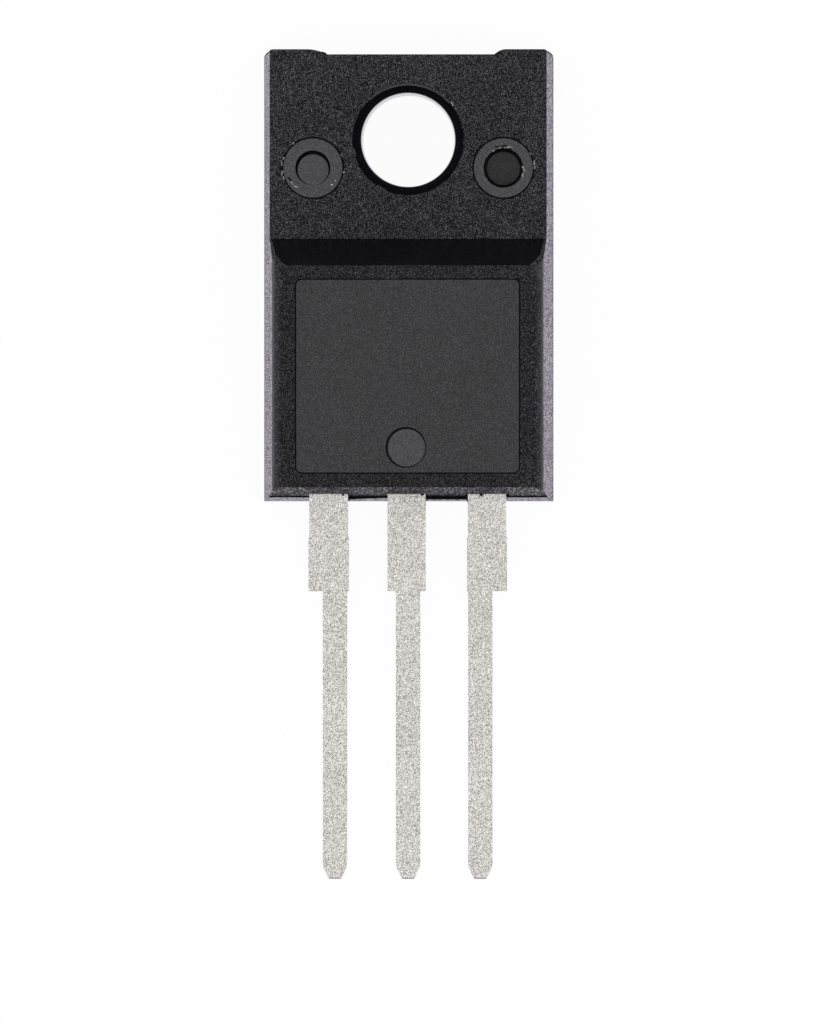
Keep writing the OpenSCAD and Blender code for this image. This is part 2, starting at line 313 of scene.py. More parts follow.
def set_down(piece: Piece, name: str, slot: Slot, *nodes: str) -> Piece:
    """Finishes a piece: cleans and shades its mesh, turns millimetres to metres and gives it its body.

    Args:
        piece: the mesh object, modelled in millimetres.
        name: the piece's name.
        slot: the record's material slot for the piece; not used.
        nodes: the CAD nodes that it stands for.

    Returns:
        The piece.
    """
    with editing(piece):
        bpy.ops.mesh.remove_doubles(threshold=NEAR)
        bpy.ops.mesh.dissolve_degenerate(threshold=NEAR)
    bpy.ops.object.shade_smooth_by_angle(angle=SMOOTH)
    modify(piece, "WEIGHTED_NORMAL", keep_sharp=True)
    piece.scale = (MM, MM, MM)
    take_up(piece)
    settle()
    piece.name = piece.data.name = name
    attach(piece, "root")
    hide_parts(*nodes)
    log.info("%s: %d faces", name, len(piece.data.polygons))
    return piece


def core(original: Piece, finish: Material, sink: float = 0) -> Piece:
    """Copies a finished piece or a CAD node as a tool in millimetres, for the room that it takes.

    Args:
        original: what is copied.
        finish: the finish of the walls that the tool leaves.
        sink: how far the tool is lowered, so that it runs a hair into what the original stands on.

    Returns:
        The tool.
    """
    tool = bpy.data.objects.new(original.name + "_core", original.data.copy())
    bpy.context.scene.collection.objects.link(tool)
    tool.data.materials.clear()
    tool.data.materials.append(finish)
    tool.data.polygons.foreach_set("material_index", [0] * len(tool.data.polygons))
    tool.scale = (1 / MM, 1 / MM, 1 / MM)
    tool.location = (0, 0, -sink)
    take_up(tool)
    settle()
    with editing(tool):
        bpy.ops.mesh.remove_doubles(threshold=NEAR)
    return tool


# ------------------------------------------------------------------ finishes


def paint(code: str) -> tuple[float, float, float, float]:
    """Turns an sRGB hex code to Blender's linear colour.

    Args:
        code: the colour as "#rrggbb".

    Returns:
        Red, green, blue and an alpha of 1.
    """
    parts = [int(code[i : i + 2], 16) / 255 for i in (1, 3, 5)]
    linear = [c / 12.92 if c <= 0.04045 else ((c + 0.055) / 1.055) ** 2.4 for c in parts]
    return (linear[0], linear[1], linear[2], 1.0)


def per_metre(size: float) -> float:
    """Texture scale at which a pattern's feature is as large as size, in millimetres."""
    return 1 / (size * MM)


def add_node(
    tree: NodeTree,
    kind: str,
    values: dict[str | int, Any] | None = None,
    links: dict[str | int, Socket] | None = None,
    **settings: Any,
) -> bpy.types.Node:
    """Adds a node to a tree.

    Args:
        tree: the node tree.
        kind: Blender's name for the kind of node.
        values: the value of each input that is set, by its name or number.
        links: the output that feeds each input that is linked, by its name or number.
        settings: the node's own settings.

    Returns:
        The node.
    """
    node = tree.nodes.new(kind)
    for name, value in settings.items():
        setattr(node, name, value)
    for name, value in (values or {}).items():
        node.inputs[name].default_value = value
    for name, output in (links or {}).items():
        tree.links.new(output, node.inputs[name])
    return node


def empty_tree(owner: Material | bpy.types.World) -> NodeTree:
    """Gives a material or the world a node tree with nothing in it."""
    owner.use_nodes = True
    owner.node_tree.nodes.clear()
    return owner.node_tree


@dataclass(frozen=True)
class Grain:
    """A pattern of closely packed grains, each with a brightness and a height of its own. Sizes in mm."""

    size: float  # of a grain, drawn no finer than what a picture of the whole part shows
    depth: float  # height of the grains
    rare: float  # from 0 to 1, how few of the grains are bright
    drag: float = 1.0  # how many times longer than wide a grain is along Z
    soft: float = 0.45  # how gently the brightness goes from dark to bright
    cloud_size: float = 2.4  # patches in which the grains are a little brighter or darker
    cloud_share: float = 0.1

    def material(
        self, name: str, dark: str, bright: str, values: dict[str, Any], worn: float = 0.0
    ) -> Material:
        """Writes a material with the pattern on it.

        Args:
            name: the material's name.
            dark: the colour of the dark grains.
            bright: the colour of the bright ones.
            values: the shader's constants.
            worn: how much rougher the bright grains are than the dark ones.

        Returns:
            The material.
        """
        material = bpy.data.materials.new(name)
        tree = empty_tree(material)
        place = add_node(tree, "ShaderNodeTexCoord").outputs["Object"]
        drawn = add_node(
            tree, "ShaderNodeVectorMath", {1: (1.0, 1.0, 1.0 / self.drag)}, {0: place},
            operation="MULTIPLY",
        )
        cells = add_node(
            tree, "ShaderNodeTexVoronoi", {"Scale": per_metre(self.size), "Randomness": 1.0},
            {"Vector": drawn.outputs["Vector"]},
        )
        clouds = add_node(
            tree, "ShaderNodeTexNoise", {"Scale": per_metre(self.cloud_size), "Detail": 2.0},
            {"Vector": place},
        )
        clouded = add_node(
            tree, "ShaderNodeMath", {1: self.cloud_share},
            {0: clouds.outputs["Fac"], 2: cells.outputs["Color"]}, operation="MULTIPLY_ADD",
        )
        low = self.rare + self.cloud_share / 2
        share = add_node(
            tree, "ShaderNodeMapRange", {"From Min": low, "From Max": low + self.soft},
            {"Value": clouded.outputs["Value"]},
        ).outputs["Result"]
        bump = add_node(
            tree, "ShaderNodeBump", {"Strength": 1.0, "Distance": self.depth * MM},
            {"Height": cells.outputs["Distance"]},
        )
        colour = add_node(
            tree, "ShaderNodeMix", {6: paint(dark), 7: paint(bright)}, {0: share}, data_type="RGBA"
        )
        links = {"Base Color": colour.outputs[2], "Normal": bump.outputs["Normal"]}
        if worn:
            rough = add_node(
                tree, "ShaderNodeMath", {1: worn, 2: values["Roughness"]}, {0: share},
                operation="MULTIPLY_ADD",
            )
            links["Roughness"] = rough.outputs["Value"]
        shader = add_node(tree, "ShaderNodeBsdfPrincipled", values, links)
        add_node(tree, "ShaderNodeOutputMaterial", links={"Surface": shader.outputs["BSDF"]})
        return material


@dataclass(frozen=True)
class MouldedEpoxy:
    """Black epoxy moulding compound, filled with glassy sand, as one wall of the mould left it.

    A spark-eroded wall leaves small craters that break the light into grains; part of their
    glints is painted as pale grains in the base colour. A polished wall leaves a calm satin face
    on which only the filler shows. A wall that slid out of the mould is drawn smooth along the
    way it slid.
    """

    name: str
    resin: str  # the black resin in the hollows
    filler_and_glints: str  # the skin over the grains of filler, a little paler; on eroded walls these pale grains also paint the glints of the craters
    roughness: float
    depth: float  # height of the crater walls in mm
    specular: float = 0.5
    grain: float = 0.022  # size of a crater in mm
    rare: float = 0.45  # from 0 to 1, how few of the grains are pale
    worn: float = 0.0  # how much rougher the grains are than the resin between them
    drag: float = 1.0  # how many times longer than wide the grains were drawn along Z
    bloom: float = 0.0  # how much haze the wall shows at a flat angle
    haze: str = "#b89ce0"  # the violet of that haze

    def material(self) -> Material:
        """Writes the material."""
        values = {
            "Roughness": self.roughness,
            "IOR": 1.55,
            "Specular IOR Level": self.specular,
            "Sheen Weight": self.bloom,
            "Sheen Tint": paint(self.haze),
        }
        pattern = Grain(self.grain, self.depth, self.rare, self.drag)
        return pattern.material(self.name, self.resin, self.filler_and_glints, values, self.worn)


@dataclass(frozen=True)
class GrainedMetal:
    """A metal whose skin is made of fine crystals, so that it looks soft; its sparkle grain by grain is
    painted into the base colour.
    """

    name: str
    bright: str  # painted highlight: the base colour of the crystals painted as if they face the light
    dull: str  # painted shade: the base colour of the crystals painted as if they face away
    roughness: float
    grain: float  # size of a clump of crystals in mm
    depth: float  # height of the clumps in mm
    rare: float = 0.27  # from 0 to 1, how few of the clumps are bright

    def material(self) -> Material:
        """Writes the material."""
        values = {"Metallic": 1.0, "Roughness": self.roughness}
        pattern = Grain(self.grain, self.depth, self.rare)
        return pattern.material(self.name, self.dull, self.bright, values)


EPOXY_WALLS: dict[str, MouldedEpoxy] = {
    # Spark-eroded wall: dull black with pale points, partly filler and partly painted glints of the
    # craters.
    "eroded": MouldedEpoxy(
        "spark_eroded_epoxy", "#040406", "#7f7d86", roughness=0.62, depth=0.01, specular=0.13,
        rare=0.58,
    ),
    # Side wall that slid out of the mould: fine upright streaks under a pale violet haze.
    "drafted": MouldedEpoxy(
        "drawn_wall_epoxy", "#0d0d0f", "#1c1b1f", roughness=0.2, depth=0.003, rare=0.3, worn=0.5,
        drag=12, bloom=0.2, grain=0.026,
    ),
    # Front face of the block: the eroded wall again with darker colours, so that it renders darker than
    # the tab; its pale points are partly filler and partly painted glints.
    "shallow": MouldedEpoxy(
        "shallow_eroded_epoxy", "#030304", "#626067", roughness=0.62, depth=0.01, specular=0.13,
        rare=0.57,
    ),
    # Bevels: dark and half drawn, with grains a little longer than wide.
    "swept": MouldedEpoxy(
        "swept_bevel_epoxy", "#020203", "#625f6c", roughness=0.22, depth=0.0015, specular=0.04,
        rare=0.6, worn=0.4, drag=5, bloom=0.03, grain=0.04,
    ),
    # Bottom wall over the leads: dark violet, with grains that are smoother than what is round them.
    "end_wall": MouldedEpoxy(
        "drawn_end_epoxy", "#020203", "#625f6c", roughness=0.56, depth=0.0015, specular=0.04,
        rare=0.5, worn=-0.4, drag=8, bloom=0.03, grain=0.045,
    ),
    # Polished slopes, the step and the mouth of the hole: nearly black, without grain.
    "flare": MouldedEpoxy("polished_flare_epoxy", "#0a090e", "#100f16", roughness=0.16, depth=0.001),
    # Wall of the hole, polished by its core pin: a mirror for what lies under it.
    "throat": MouldedEpoxy(
        "polished_throat_epoxy", "#19181b", "#232226", roughness=0.06, depth=0.0, specular=0.6,
        bloom=0.25,
    ),
    # Marking panel: flat satin grey.
    "panel": MouldedEpoxy(
        "polished_panel_epoxy", "#070608", "#454347", roughness=0.42, depth=0.006, specular=0.38
    ),
    # What the ground faces of the pins left: the palest and smoothest grey.
    "pin_face": MouldedEpoxy(
        "ground_pin_epoxy", "#18171a", "#4f4d53", roughness=0.38, depth=0.004, specular=0.45
    ),
    # Deep black resin without pale grains: torn resin at the flash, on the dark chips and on the wall of
    # the right pin's pocket, and painted shade in the grooves round the marks and on the ledge at the
    # parting line.
    "torn_and_shade": MouldedEpoxy(
        "torn_epoxy_and_painted_shade", "#050505", "#161517", roughness=0.6, depth=0.02, specular=0.1
    ),
    # Fresh chips, in which the filler lies bare: pale specks, which also paint the glints along the rims
    # of the marks.
    "chipped_and_glint": MouldedEpoxy("chipped_epoxy_and_painted_glint", "#4b4a4d", "#c9c7cb", roughness=0.45, depth=0.01),
}
FRAME_METALS: dict[str, GrainedMetal] = {
    # Matt tin plate: soft warm white, broken into fine grains whose sparkle is painted, bright and dull.
    "tin": GrainedMetal(
        "matt_tin_plate", "#eae8e4", "#87867f", roughness=0.42, grain=0.023, depth=0.004
    ),
    # Cropped end, where the shear dragged the tin over the copper: darker and torn.
    "sheared": GrainedMetal(
        "sheared_tin", "#6f6e6c", "#3a3938", roughness=0.45, grain=0.023, depth=0.006
    ),
    # Rolled copper inside the body: warm and smooth.
    "copper": GrainedMetal(
        "rolled_copper", "#e0a184", "#c98a6e", roughness=0.3, grain=0.08, depth=0.001
    ),
}
# Solder that set round the chip: silvery with a dull bloom of coarse crystals.
SOLDER = GrainedMetal("lead_tin_solder", "#c9c6c2", "#8f8c88", roughness=0.3, grain=0.06, depth=0.003)
# Metal film on polished silicon: a cool mirror.
SILICON = GrainedMetal("metallised_silicon", "#c4c8d2", "#8d93a3", roughness=0.15, grain=0.1, depth=0.0)
# Drawn aluminium wire: bright, with a fine grain.
WIRE = GrainedMetal("drawn_aluminium", "#e3e2df", "#b5b4b1", roughness=0.3, grain=0.03, depth=0.001)


# ------------------------------------------------------------------ copper frame


@dataclass(frozen=True)
class FrameFinishes:
    """The materials of the copper frame."""

    tin: Material
    sheared: Material
    copper: Material


@dataclass
class Lead:
    """A lead as it is stamped from copper strip, from its head down to its tip. Sizes in mm."""

    finish: FrameFinishes
    middle_x: float  # centre line of the slim part
    shank_x: Span  # left and right edge of the broad part
    head_y: float  # where the lead starts
    low_z: float = 2.4
    high_z: float = 2.9
    slim_w: float = 0.86
    shank_end_y: float = -15.97
    dam_top_y: float = -14.06  # upper end of the cut where the dam bar was trimmed
    dam_burr: float = 0.03
    tip_start_y: float = -25.62
    tip_end_y: float = -26.15
    tip_w: float = 0.4
    tip_steps: int = 5
    tip_curve: float = 1.4  # fuller than a straight taper
    shear_lean: float = 0.05  # how far the cropped end leans back
    corner_r: float = 0.055
    die_roll: float = 0.07  # rounding on the side that the punch came from
    burr_edge: float = 0.02  # rounding on the other side
    sheared_l: float = 0.08  # how far the cropped end's torn face reaches
    plated_y: float = -12.45  # the tin starts where the lead comes out of the body

    def strip(self) -> Piece:
        """Makes the flat strip with its square edges: broad part, slim part and tapered tip."""
        left, right = self.shank_x
        strip = hewn_block(
            self.finish.tin, (left, self.shank_end_y, self.low_z), (right, self.head_y, self.high_z)
        )
        half = self.slim_w / 2
        for x in (self.middle_x - half, self.middle_x + half):
            if left + NEAR < x < right - NEAR:
                split(strip, (x, 0, 0), (1, 0, 0))
        split(strip, (0, self.dam_top_y, 0), (0, 1, 0))
        with editing(strip, lambda s: s.way.y < -ALONG and abs(s.at.x - self.middle_x) < half):
            y, w = self.shank_end_y, self.slim_w
            taper = [t / self.tip_steps for t in range(self.tip_steps + 1)]
            for t in taper:
                next_y = self.tip_start_y + (self.tip_end_y - self.tip_start_y) * t
                next_w = self.slim_w - (self.slim_w - self.tip_w) * t**self.tip_curve
                draw_out(0, next_y - y, 0)
                middle = (self.middle_x, next_y, self.low_z)
                bpy.ops.transform.resize(value=(next_w / w, 1, 1), center_override=middle)
                y, w = next_y, next_w
        with editing(
            strip, lambda s: s.at.y < self.tip_end_y + NEAR and s.at.z > self.low_z + NEAR, Part.VERT
        ):
            bpy.ops.transform.translate(value=(0, self.shear_lean, 0))
        return strip

    def trim(self, strip: Piece) -> None:
        """Leaves the stubs of the dam bar on both sides of the broad part, and rounds all edges.

        Args:
            strip: the strip with its square edges.
        """
        for side, edge_x in zip((-1, 1), self.shank_x):
            with editing(
                strip,
                lambda s: s.way.x * side > ALONG
                and abs(s.at.x - edge_x) < NEAR
                and self.shank_end_y < s.at.y < self.dam_top_y,
            ):
                draw_out(side * self.dam_burr, 0, 0)
        with editing(strip):
            bpy.ops.mesh.dissolve_limited(angle_limit=FLAT)
        ease(
            strip, self.corner_r, segments=3,
            wanted=lambda s: abs(s.way.z) > ALONG and abs(s.at.y - self.shank_end_y) < NEAR,
        )
        ease(
            strip, 0.8 * self.dam_burr, segments=2,
            wanted=lambda s: abs(s.way.z) > ALONG and abs(s.at.y - self.dam_top_y) < NEAR,
        )
        ease(
            strip, self.die_roll, segments=3,
            wanted=lambda s: s.at.y < self.plated_y and s.at.z > self.high_z - NEAR,
        )
        ease(
            strip, self.burr_edge, segments=2,
            wanted=lambda s: s.at.y < self.plated_y and s.at.z < self.low_z + NEAR,
        )

    def plate(self, strip: Piece) -> None:
        """Gives the head inside the body its bare copper, and the cropped end its torn face.

        Args:
            strip: the finished shape.
        """
        split(strip, (0, self.plated_y, 0), (0, 1, 0))
        coat(strip, self.finish.copper, lambda s: s.at.y > self.plated_y)
        torn_y = self.tip_end_y + self.sheared_l
        coat(strip, self.finish.sheared, lambda s: s.at.y < torn_y and s.way.y < -0.5)

    def widen(self, strip: Piece, from_y: float, edges: Span) -> None:
        """Draws both sides of the head outwards.

        Args:
            strip: the strip.
            from_y: where the wide part begins.
            edges: where its left and right edge come to lie.
        """
        for side, start_x, end_x in zip((-1, 1), self.shank_x, edges):
            with editing(strip, lambda s: s.way.x * side > ALONG and s.at.y > from_y + NEAR):
                draw_out(end_x - start_x, 0, 0)

    def head(self, strip: Piece) -> None:
        """Shapes the end inside the body. A plain lead has none.

        Args:
            strip: the strip with its square edges.
        """

    def build(self) -> Piece:
        """Models the whole lead."""
        strip = self.strip()
        self.head(strip)
        self.trim(strip)
        self.plate(strip)
        return strip


@dataclass
class SideLead(Lead):
    """Gate or source lead, with a broad post for the bond wires at its head."""

    post_l: float = 1.3
    post_w: float = 2.1

    def head(self, strip: Piece) -> None:
        """Draws the bond post out of the strip's end.

        Args:
            strip: the strip with its square edges.
        """
        with editing(strip, lambda s: s.way.y > ALONG and s.at.y > self.head_y - NEAR):
            draw_out(0, self.post_l, 0)
        middle = sum(self.shank_x) / 2
        self.widen(strip, self.head_y, (middle - self.post_w / 2, middle + self.post_w / 2))


@dataclass
class DrainFrame(Lead):
    """Middle lead, its climb from the pad and the thick pad that carries the die."""

    pad_z: Span = (0.45, 1.75)
    pad_half_w: float = 4.19
    pad_y: Span = (-9.8, 0.2)
    ear_r: float = 2.55  # the pad's ears reach round the mounting hole
    bend_r: float = 0.3
    bend_angle: float = 45.0
    bend_steps: int = 8
    head_y: float = field(init=False)

    def __post_init__(self) -> None:
        """Works out where the climb begins."""
        thick = self.high_z - self.low_z
        turn = math.radians(self.bend_angle)
        drop = (2 * self.bend_r + thick) * (1 - math.cos(turn))
        self.slope = (self.low_z + thick - self.pad_z[1] - drop) / math.sin(turn)
        run = (2 * self.bend_r + thick) * math.sin(turn) + self.slope * math.cos(turn)
        self.head_y = self.pad_y[0] - run

    def head(self, strip: Piece) -> None:
        """Bends the strip down to the pad and draws the pad out of its end.

        Args:
            strip: the strip with its square edges.
        """
        turn = math.radians(self.bend_angle)
        low, high = self.pad_z
        with editing(strip, lambda s: s.way.y > ALONG and s.at.y > self.head_y - NEAR):
            bpy.ops.mesh.spin(
                steps=self.bend_steps, angle=turn, axis=(1, 0, 0),
                center=(0, self.head_y, self.low_z - self.bend_r),
            )
            draw_out(0, self.slope * math.cos(turn), -self.slope * math.sin(turn))
            bpy.ops.mesh.spin(
                steps=self.bend_steps, angle=-turn, axis=(1, 0, 0),
                center=(0, self.pad_y[0], high + self.bend_r),
            )
            draw_out(0, self.pad_y[1] - self.pad_y[0], 0)
        strip_foot = high - (self.high_z - self.low_z)
        with editing(strip, lambda s: s.way.z < -ALONG and s.at.y > self.pad_y[0] + 1):
            draw_out(0, 0, low - strip_foot)
        self.widen(strip, self.pad_y[0], (-self.pad_half_w, self.pad_half_w))
        with editing(strip):
            bpy.ops.mesh.remove_doubles(threshold=NEAR)
            bpy.ops.mesh.dissolve_limited(angle_limit=FLAT)
            bpy.ops.mesh.normals_make_consistent(inside=False)
        round_hole = turned_plug(self.finish.copper, (0, 0), [(0, self.ear_r), (AFAR, self.ear_r)])
        fit(strip, round_hole, Fit.CUT)


# ------------------------------------------------------------------ epoxy body


@dataclass(frozen=True)
class BodyFinishes:
    """The materials of the epoxy body, one for each kind of mould wall."""

    eroded: Material
    drafted: Material
    shallow: Material
    swept: Material
    end_wall: Material
    flare: Material
    throat: Material
    panel: Material
    pin_face: Material
    torn_and_shade: Material
    chipped_and_glint: Material


@dataclass(frozen=True)
class ChippedRim:
    """The rim of a round mark with chips along it. Sizes in mm, each span from the least to the most."""

    middle: Point  # the middle of the mark, at the height of the rim
    r: float
    arcs: tuple[Span, ...]  # the stretches that are chipped, as angles in degrees
    seed: int  # starts the random numbers
    sizes: tuple[Span, ...] = ((0.07, 0.2), (0.028, 0.06), (0.03, 0.06))  # length, width and height
    outward: Span = (0.0, 0.03)  # how far outside the rim a chip lies
    sunk: float = 0.012  # how deep its foot stands in the epoxy
    pale: float = 0.6  # the share of the chips that are pale
    askew: Span = (-25, 25)  # how far a chip is turned off the rim, in degrees
    gap: Span = (0.02, 0.12)  # between two chips


@dataclass
class EpoxyBody:
    """The black housing, moulded in one shot round the frame, the die and the wires. Sizes in mm."""

    finish: BodyFinishes
    half_w: float = 5.14  # at the rear face
    top_y: float = 3.2
    bottom_y: float = -12.79
    thick: float = 4.5  # the block over the die
    tab_t: float = 2.6
    side_draft: float = 5.3
    bevel: tuple[Span, ...] = ((0.098, 0.22), (0.12, 0.24), (0.092, 0.15), (0.08, 0.1))
    corner_r: Span = (0.24, 0.1)  # of the upper corners, at the rear and front face
    step_foot_y: float = -3.5
    step_lean: float = 27.3
    step_corner_r: float = 0.12
    step_room: Span = (-4.7, -3.4)  # the step and its corners lie between these in y
    parting_z: float = 2.4
    foot_line: float = 0.25  # below this the side walls are rough
    rear_draft: float = 3.2
    front_draft: float = 8.5
    ledge: float = 0.045
    edge_r: float = 0.05  # rounding that the mould's own edges leave
    notch_depth: float = 0.18
    notch_ends: Span = (-2.88, 3.07)
    land_r: Span = (1.45, 0.52)
    bore: tuple[Span, ...] = (  # heights and radii
        (-1.0, 1.62), (0.8, 1.62), (2.15, 1.66), (2.21, 1.68), (2.5, 1.9), (2.62, 1.985), (3.0, 2.5),
    )
    throat_top: float = 2.18
    mouth_z: Span = (2.4, 2.9)  # between these the mouth of the hole is a little out of round
    mouth_stray: float = 0.008
    pin_x: float = 3.37
    pin_y: float = -1.0
    ring_r: float = 1.09
    ring_depth: float = 0.06
    ring_mouth: Span = (0.2, 0.04)  # its tool ends so much higher than the tab and so much wider
    left_pocket_r: float = 0.62
    left_pocket_depth: float = 0.3
    disc_gap: float = 0.075  # width of the gap round the disc that closes the left pocket
    disc_sink: float = 0.03
    right_pocket_r: float = 0.7
    right_pocket: tuple[Span, ...] = ((1.78, 0.59), (2.03, 0.62), (2.42, 0.68), (2.64, 0.72))
    right_pocket_stray: float = 0.012  # how ragged its wall is
    panel_x: float = 3.97
    panel_y: Span = (-11.82, -4.94)
    panel_depth: float = 0.04
    panel_corner: float = 0.24
    groove_w: float = 0.045  # fine groove round the panel and round each round mark
    groove_depth: float = 0.05
    ejector_x: float = -0.06
    ejector_y: float = -10.89
    ejector_r: float = 0.72
    ejector_depth: float = 0.06
    ejector_groove: float = 0.06  # width of the groove round it
    ejector_shift: Span = (0.025, -0.02)  # how far off its middle the disc inside the groove lies

    crumble: float = 0.17  # how far the corners of a scrap stray, as a share of its least size

    def block(self) -> Piece:
        """Makes the outside of the body without its openings."""
        tail, lean = math.radians(self.rear_draft), math.radians(self.side_draft)
        planes: list[Plane] = [((0, self.bottom_y, 0), (0, -math.cos(tail), math.sin(tail)))]
        for side in (-1, 1):
            z = self.thick - sum(rise for run, rise in self.bevel)
            x = self.half_w - z * tan(self.side_draft)
            planes.append(((side * x, 0, z), (side * math.cos(lean), 0, math.sin(lean))))
            for run, rise in self.bevel:
                planes.append(((side * x, 0, z), (side * rise, 0, run)))
                x, z = x - run, z + rise
        eroded = self.finish.eroded
        low, high = (-self.half_w, self.bottom_y, 0), (self.half_w, self.top_y, self.thick)
        body = hewn_block(eroded, low, high, planes)
        lean = math.radians(self.step_lean)
        foot = ((0, self.step_foot_y, self.tab_t), (0, -math.cos(lean), -math.sin(lean)))
        fit(body, hewn_block(eroded, (-AFAR, -AFAR, self.tab_t), (AFAR, AFAR, AFAR), [foot]), Fit.CUT)
        lean = math.radians(self.front_draft)
        wall_y = self.bottom_y + self.parting_z * tan(self.rear_draft) + self.ledge
        wall = ((0, wall_y, self.parting_z), (0, math.cos(lean), -math.sin(lean)))
        low = (-AFAR, self.bottom_y - CLEAR, self.parting_z)
        high = (AFAR, self.bottom_y + CLEAR, AFAR)
        return fit(body, hewn_block(eroded, low, high, [wall]), Fit.CUT)

    def coat_walls(self, body: Piece) -> None:
        """Gives the walls that slid out of the mould their smooth finish, and the ledge its black torn
        one, which paints the shade at the foot of the front wall.

        Args:
            body: the outside of the body.
        """
        finish = self.finish
        step_head_y = self.step_foot_y - (self.thick - self.tab_t) * tan(self.step_lean)

        def on_step(s: Spot) -> bool:
            """Says whether a face belongs to the step or to one of its rounded corners."""
            inside = s.at.z > self.tab_t and step_head_y < s.at.y < self.step_foot_y
            return inside and abs(s.way.z) < 0.6 and s.way.y > 0.1

        rules = (  # later ones go over earlier ones
            (finish.drafted, lambda s: abs(s.way.x) > 0.97 and s.at.z > self.foot_line),
            (finish.flare, on_step),
            (finish.swept, lambda s: on_step(s) and 0.12 < abs(s.way.x) < 0.97),
            (finish.drafted, lambda s: s.way.y < -0.99 and s.at.z < self.parting_z),
            (finish.swept, lambda s: 0.75 < abs(s.way.x) < 0.97 and s.at.z > self.tab_t),
            (finish.end_wall, lambda s: s.way.y < -ALONG and s.at.z > self.parting_z),
            # the block's front face takes the darker copy of the eroded finish
            (finish.shallow, lambda s: s.way.z > 0.99 and s.at.z > self.thick - NEAR),
            # the ledge at the parting line takes black torn epoxy: painted shade at the foot of the front
            # wall
            (
                finish.torn_and_shade,
                lambda s: s.way.z > 0.7
                and abs(s.at.z - self.parting_z) < 0.02
                and s.at.y < self.bottom_y + 0.4,
            ),
        )
        for wall, wanted in rules:
            coat(body, wall, wanted)

    def round_corner(self, body: Piece, side: int) -> None:
        """Rounds an upper corner of the tab, less and less towards the front face.

        Args:
            body: the outside of the body.
            side: -1 for the left corner and 1 for the right one.
        """
        rear_r, front_r = self.corner_r
        ease(
            body, rear_r, segments=10,
            wanted=lambda s: abs(s.way.z) > ALONG and s.at.y > self.top_y - NEAR and s.at.x * side > 0,
        )
        tip = (side * (self.half_w - self.tab_t * tan(self.side_draft)), self.top_y, self.tab_t)
        reach = rear_r + 0.01
        with editing(
            body,
            lambda s: s.at.z > self.tab_t - NEAR
            and s.at.y > self.top_y - reach
            and s.at.x * side > abs(tip[0]) - reach,
            Part.VERT,
        ):
            shrink = front_r / rear_r
            bpy.ops.transform.resize(value=(shrink, shrink, 1), center_override=tip)

    def notch(self) -> Piece:
        """Makes the tool that cuts the shallow notch between the two lands of the top edge."""
        lands = []
        for end, r in zip(self.notch_ends, self.land_r):
            reach = math.sqrt(r**2 - (r - self.notch_depth) ** 2)
            lands.append((end + math.copysign(reach, end), r))
        floor_y = self.top_y - self.notch_depth
        low = (lands[0][0], floor_y, -CLEAR)
        high = (lands[1][0], self.top_y + CLEAR, self.tab_t + CLEAR)
        tool = hewn_block(self.finish.eroded, low, high)
        for x, r in lands:
            rings = [(-AFAR, r), (AFAR, r)]
            land = turned_plug(self.finish.eroded, (x, self.top_y - r), rings, sides=192)
            fit(tool, land, Fit.CUT)
        return tool

    def round_edges(self, body: Piece) -> None:
        """Rounds the body's edges, first the large roundings and then what the mould's edges leave.

        Args:
            body: the outside of the body.
        """
        for side in (-1, 1):
            self.round_corner(body, side)
        fit(body, self.notch(), Fit.CUT)
        back, front = self.step_room

        def by_step(s: Spot) -> bool:
            """Says whether an edge lies over the tab and beside the step."""
            return back < s.at.y < front and s.at.z > self.tab_t

        ease(body, self.step_corner_r, segments=6, wanted=lambda s: abs(s.way.z) > 0.7 and by_step(s))
        with editing(body):
            bpy.ops.mesh.dissolve_limited(angle_limit=FLAT)
        ease(
            body, self.edge_r, segments=3,
            wanted=lambda s: abs(s.at.z - self.parting_z) > 0.01
            and not (abs(s.at.x) > 3.9 and s.at.z > self.tab_t + NEAR and by_step(s)),
        )
        for side in (-1, 1):
            x = side * (self.half_w - self.foot_line * tan(self.side_draft))
            split(body, (x, 0, self.foot_line), (0, 0, 1))

    def grooved(self, tool: Piece, width: float, depth: float, shift: Span = (0, 0)) -> Piece:
        """Raises the foot of a tool inside its rim, so that it leaves a groove round what it cuts.

        Args:
            tool: the tool, with one flat face at its foot.
            width: the groove's width.
            depth: the groove's depth.
            shift: how far off the tool's middle the raised foot lies in x and y.

        Returns:
            The tool.
        """
        foot = min(spot.at.z for spot in spots(tool.data, Part.FACE))
        with editing(tool, lambda s: s.at.z < foot + NEAR):
            bpy.ops.mesh.inset(thickness=width, depth=0)
            bpy.ops.transform.translate(value=(*shift, depth))
        # The tool's walls and the groove round its foot take black torn epoxy: painted shade in the
        # groove and on the rim's wall.
        coat(tool, self.finish.torn_and_shade, lambda s: not (s.way.z < -ALONG and s.at.z > foot + NEAR))
        return tool

    def pin_ring(self, x: float) -> Piece:
        """Makes the tool for the ring that a support pin's shoulder left on the tab.

        Args:
            x: the pin's place across the body.

        Returns:
            The tool.
        """
        foot = self.tab_t - self.ring_depth - self.groove_depth
        rise, spread = self.ring_mouth
        rings = [(foot, self.ring_r), (self.tab_t + rise, self.ring_r + spread)]
        ring = turned_plug(self.finish.pin_face, (x, self.pin_y), rings)
        return self.grooved(ring, self.groove_w, self.groove_depth)

    def closed_pocket(self) -> Piece:
        """Makes the tool for the left pin's pocket, which epoxy closed with a disc off its middle."""
        r, floor_z = self.left_pocket_r, self.tab_t - self.left_pocket_depth
        rings = [(floor_z, r), (self.tab_t, r)]
        pocket = turned_plug(self.finish.pin_face, (-self.pin_x, self.pin_y), rings)
        disc_z = self.tab_t - self.ring_depth - self.disc_sink
        return self.grooved(pocket, self.disc_gap, disc_z - floor_z, (0.01, 0.01 - self.disc_gap))

